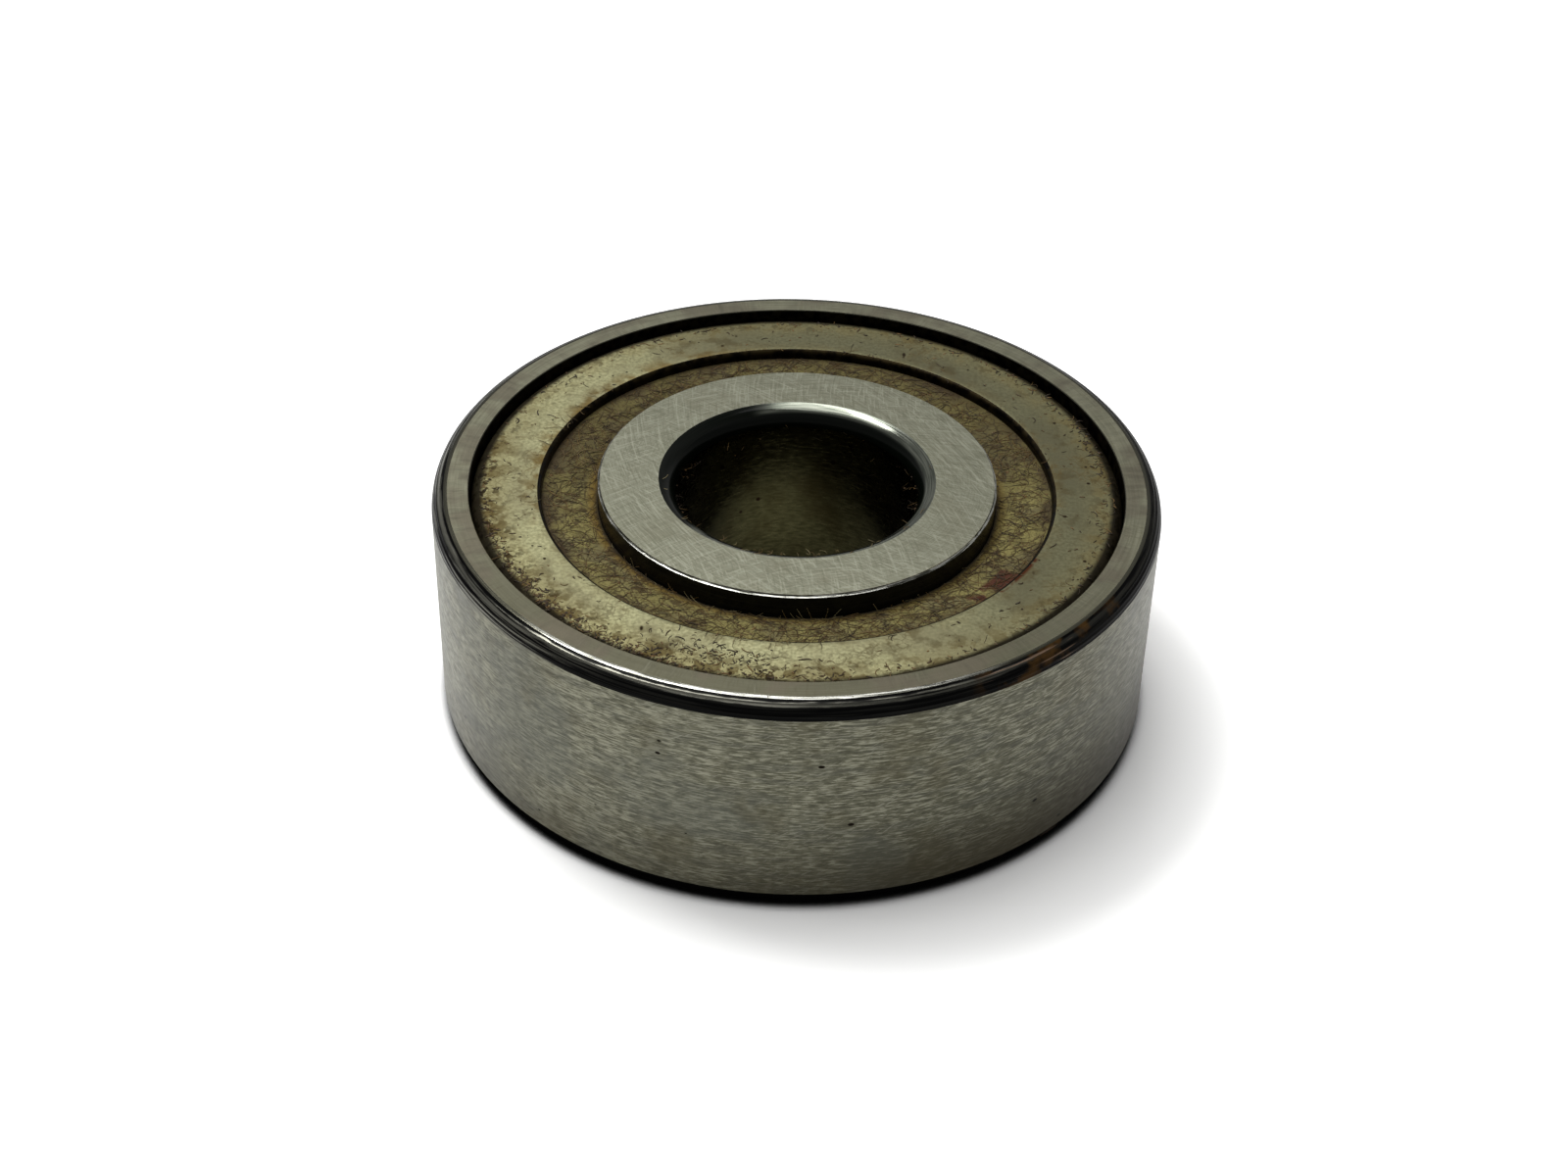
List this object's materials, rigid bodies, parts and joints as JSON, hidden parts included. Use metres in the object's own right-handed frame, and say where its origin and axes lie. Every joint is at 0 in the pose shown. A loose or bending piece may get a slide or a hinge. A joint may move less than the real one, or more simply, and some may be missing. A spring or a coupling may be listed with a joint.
{
  "type": "ball bearing",
  "caption": "Sealed deep-groove ball bearing: two steel rings, caged balls, and on each side a pressed steel seal cup that holds a felt ring against the inner ring.",
  "frame": {"origin": "centre of the bearing: on the bore axis, at mid width", "axes": "+Z along the bore axis, the axis of rotation; X and Y across it, with ball_1 on +X"},
  "size_m": [0.0286, 0.0286, 0.0096],
  "materials": {
    "ring_steel": "ground bearing steel, circular grinding lines, corners left dark",
    "ball_steel": "lapped, mirror bright",
    "seal_cup_steel": "pressed sheet, dull and slightly yellowed, bare of lettering",
    "felt": "oily wool felt, matted fibres",
    "backing_steel": "plain stamped sheet",
    "cage_steel": "pressed strip, lightly greased",
    "rivet_steel": "cold-headed wire"
  },
  "bodies": {
    "outer_ring": {"outer_ring": "ring_steel", "upper_seal_cup": "seal_cup_steel", "lower_seal_cup": "seal_cup_steel", "upper_felt_ring": "felt", "lower_felt_ring": "felt", "upper_backing_washer": "backing_steel", "lower_backing_washer": "backing_steel"},
    "inner_ring": {"inner_ring": "ring_steel"},
    "cage": {"upper_cage": "cage_steel", "lower_cage": "cage_steel", "cage_rivets": "rivet_steel"},
    "ball_1": {"ball_1": "ball_steel"},
    "ball_2": {"ball_2": "ball_steel"},
    "ball_3": {"ball_3": "ball_steel"},
    "ball_4": {"ball_4": "ball_steel"},
    "ball_5": {"ball_5": "ball_steel"},
    "ball_6": {"ball_6": "ball_steel"},
    "ball_7": {"ball_7": "ball_steel"}
  },
  "joints": [
    {"name": "inner_ring_spin", "type": "hinge", "parent": "outer_ring", "child": "inner_ring", "pos_m": [0, 0, 0], "axis": [0, 0, 1], "continuous": true},
    {"name": "cage_turn", "type": "hinge", "parent": "outer_ring", "child": "cage", "pos_m": [0, 0, 0], "axis": [0, 0, 1], "continuous": true},
    {"name": "ball_1_spin", "type": "hinge", "parent": "cage", "child": "ball_1", "pos_m": [0.00953, 0, 0], "axis": [0, 0, 1], "continuous": true},
    {"name": "ball_2_spin", "type": "hinge", "parent": "cage", "child": "ball_2", "pos_m": [0.00594, 0.00745, 0], "axis": [0, 0, 1], "continuous": true},
    {"name": "ball_3_spin", "type": "hinge", "parent": "cage", "child": "ball_3", "pos_m": [-0.00212, 0.00929, 0], "axis": [0, 0, 1], "continuous": true},
    {"name": "ball_4_spin", "type": "hinge", "parent": "cage", "child": "ball_4", "pos_m": [-0.00858, 0.00413, 0], "axis": [0, 0, 1], "continuous": true},
    {"name": "ball_5_spin", "type": "hinge", "parent": "cage", "child": "ball_5", "pos_m": [-0.00858, -0.00413, 0], "axis": [0, 0, 1], "continuous": true},
    {"name": "ball_6_spin", "type": "hinge", "parent": "cage", "child": "ball_6", "pos_m": [-0.00212, -0.00929, 0], "axis": [0, 0, 1], "continuous": true},
    {"name": "ball_7_spin", "type": "hinge", "parent": "cage", "child": "ball_7", "pos_m": [0.00594, -0.00745, 0], "axis": [0, 0, 1], "continuous": true}
  ],
  "couplings": [
    {"joint": "cage_turn", "follows": "inner_ring_spin", "ratio": 0.375},
    {"joint": "ball_1_spin", "follows": "inner_ring_spin", "ratio": -1.875},
    {"joint": "ball_2_spin", "follows": "inner_ring_spin", "ratio": -1.875},
    {"joint": "ball_3_spin", "follows": "inner_ring_spin", "ratio": -1.875},
    {"joint": "ball_4_spin", "follows": "inner_ring_spin", "ratio": -1.875},
    {"joint": "ball_5_spin", "follows": "inner_ring_spin", "ratio": -1.875},
    {"joint": "ball_6_spin", "follows": "inner_ring_spin", "ratio": -1.875},
    {"joint": "ball_7_spin", "follows": "inner_ring_spin", "ratio": -1.875}
  ]
}
